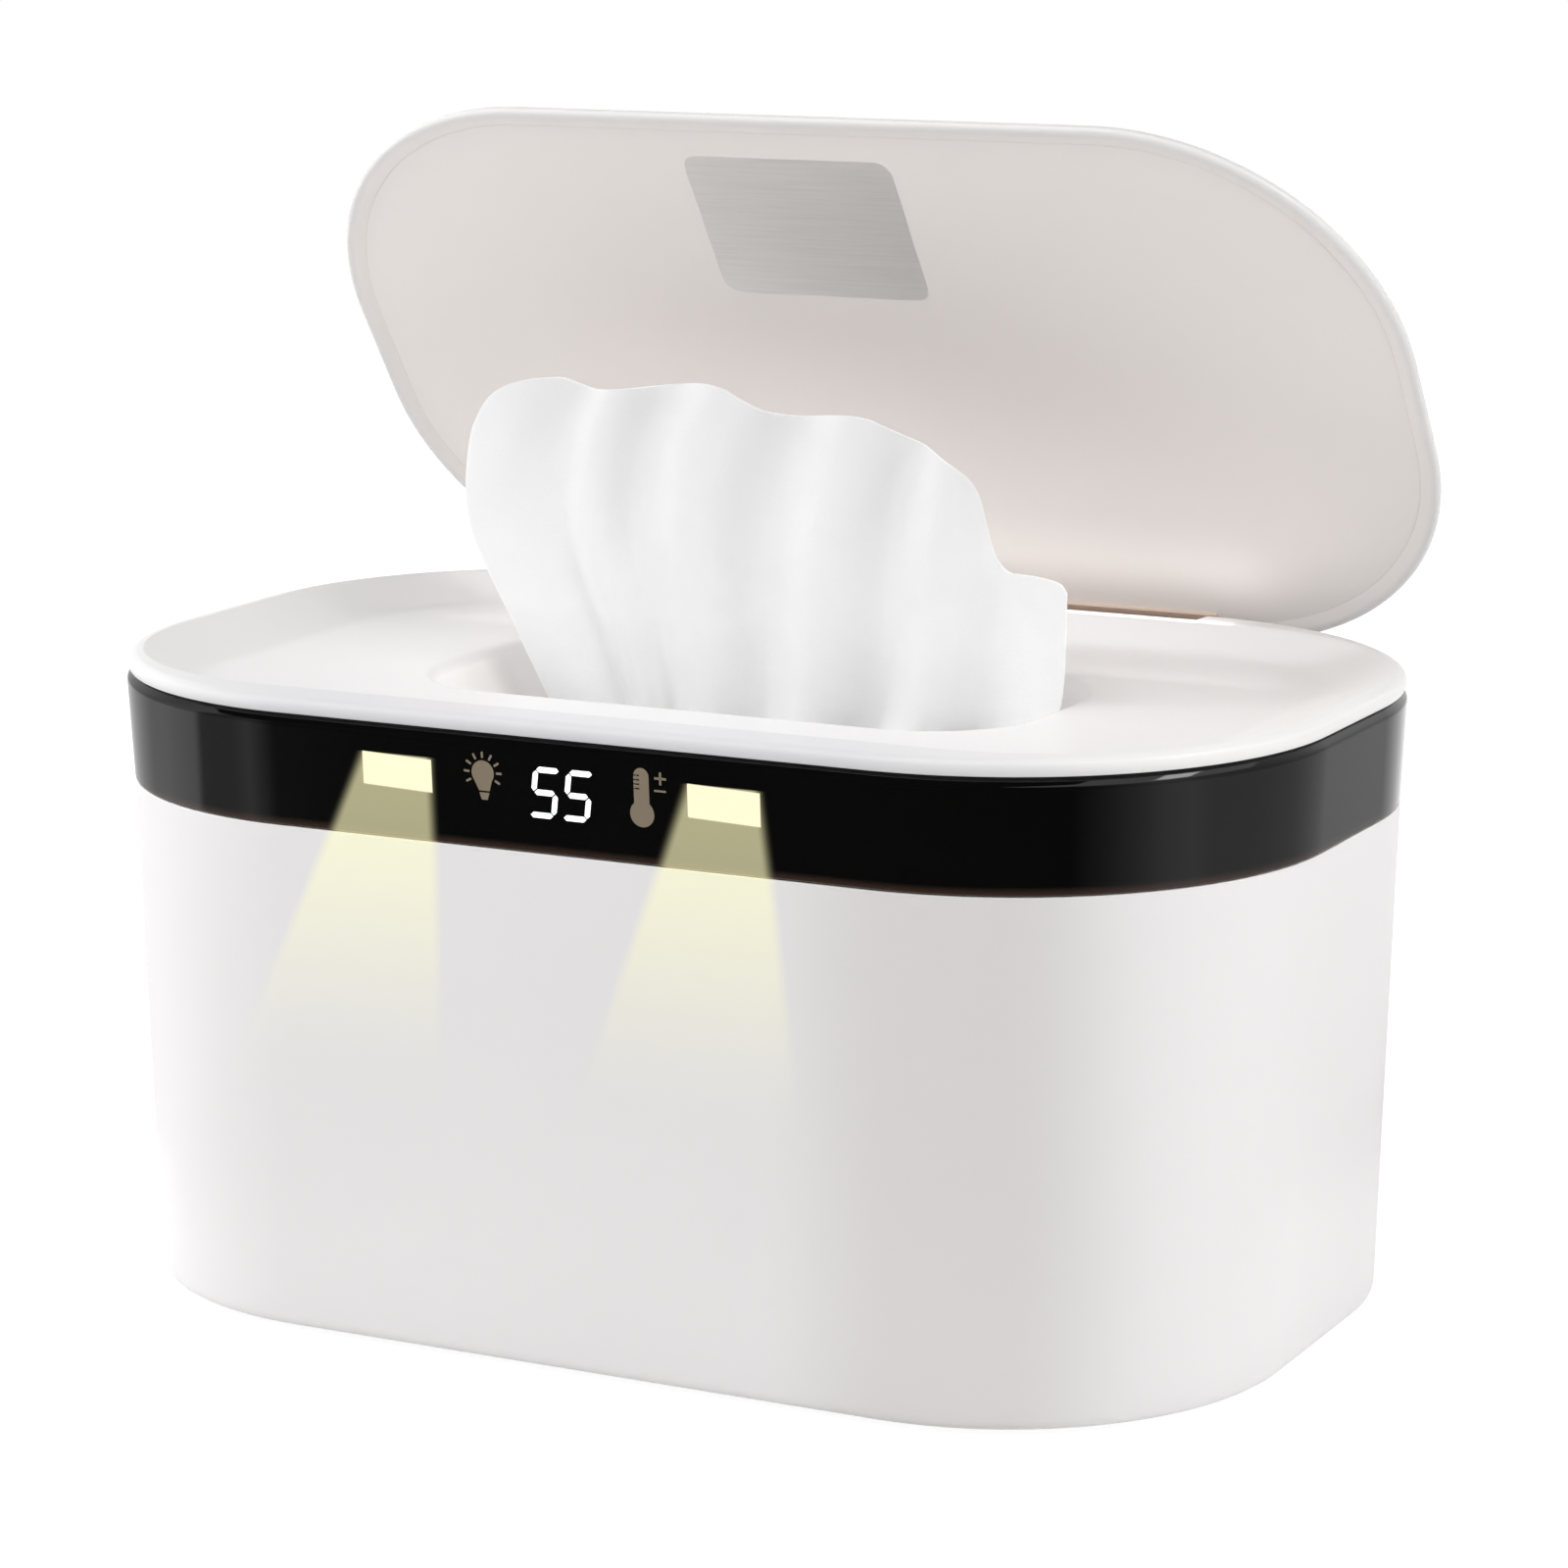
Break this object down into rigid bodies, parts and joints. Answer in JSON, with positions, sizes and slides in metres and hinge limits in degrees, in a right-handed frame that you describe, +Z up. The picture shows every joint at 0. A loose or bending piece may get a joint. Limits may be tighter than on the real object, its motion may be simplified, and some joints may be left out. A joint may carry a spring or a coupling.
{
  "type": "baby wipe warmer",
  "caption": "Oval countertop wipe warmer with a rear-hinged lid, a lift-off dished cover with a wipe opening, a glossy control band and a heated tank.",
  "frame": {"origin": "middle of the base plate's flat underside, between the four feet", "axes": "+X along the long side to the right as seen from the front, -Y is the front with the lights and the display, +Z up"},
  "size_m": [0.2258, 0.1567, 0.2069],
  "materials": {
    "white_shell": "satin white ABS",
    "white_cover": "satin white ABS",
    "liner_plastic": "warm grey-white moulded panel",
    "hinge_plastic": "warm taupe moulded hinge leaf",
    "black_gloss": "piano-black gloss",
    "window_pc": "warm translucent light window",
    "tank_plastic": "off-white polypropylene",
    "base_plastic": "matt white polypropylene",
    "foot_rubber": "grey rubber",
    "seal_silicone": "translucent grey silicone",
    "zinc_steel": "bright zinc-plated steel",
    "washer_nylon": "natural nylon",
    "heater_foil": "aluminium foil heater",
    "insulation_foam": "dark closed-cell foam",
    "board_green": "green board laminate",
    "component_black": "black component plastic",
    "led_package": "pale yellow LED package",
    "touch_foam": "conductive foam",
    "wire_pvc": "black PVC insulation",
    "nonwoven": "soft white nonwoven"
  },
  "bodies": {
    "base": {"outer_shell": "white_shell", "base_plate": "base_plastic", "foot_front_left": "foot_rubber", "foot_front_right": "foot_rubber", "foot_rear_left": "foot_rubber", "foot_rear_right": "foot_rubber", "base_screw_front_left": "zinc_steel", "base_screw_front_right": "zinc_steel", "base_screw_rear_left": "zinc_steel", "base_screw_rear_right": "zinc_steel", "control_band": "black_gloss", "light_guide_left": "window_pc", "light_guide_right": "window_pc", "led_left": "led_package", "led_right": "led_package", "display_module": "component_black", "touch_pad_light": "touch_foam", "touch_pad_heat": "touch_foam", "control_board": "board_green", "wipe_tank": "tank_plastic", "heating_film": "heater_foil", "insulation_pad": "insulation_foam", "thermistor": "component_black", "thermal_cutoff": "component_black", "power_inlet": "component_black", "inlet_lead": "wire_pvc", "heater_lead": "wire_pvc", "wipe_stack": "nonwoven"},
    "cover": {"top_cover": "white_cover", "cover_seal": "seal_silicone", "hinge_pin": "zinc_steel", "hinge_washer_left": "washer_nylon", "hinge_washer_right": "washer_nylon", "wipe_sheet": "nonwoven"},
    "lid": {"lid_shell": "white_shell", "lid_liner": "liner_plastic", "lid_hinge_leaf": "hinge_plastic"}
  },
  "joints": [
    {"name": "cover_lift", "type": "slide", "parent": "base", "child": "cover", "axis": [0, 0, 1], "range_m": [0, 0.08]},
    {"name": "lid_hinge", "type": "hinge", "parent": "cover", "child": "lid", "pos_m": [0, 0.0633, 0.09], "axis": [-1, 0, 0], "range_deg": [-55.7, 0], "deforming": ["wipe_sheet"]}
  ]
}
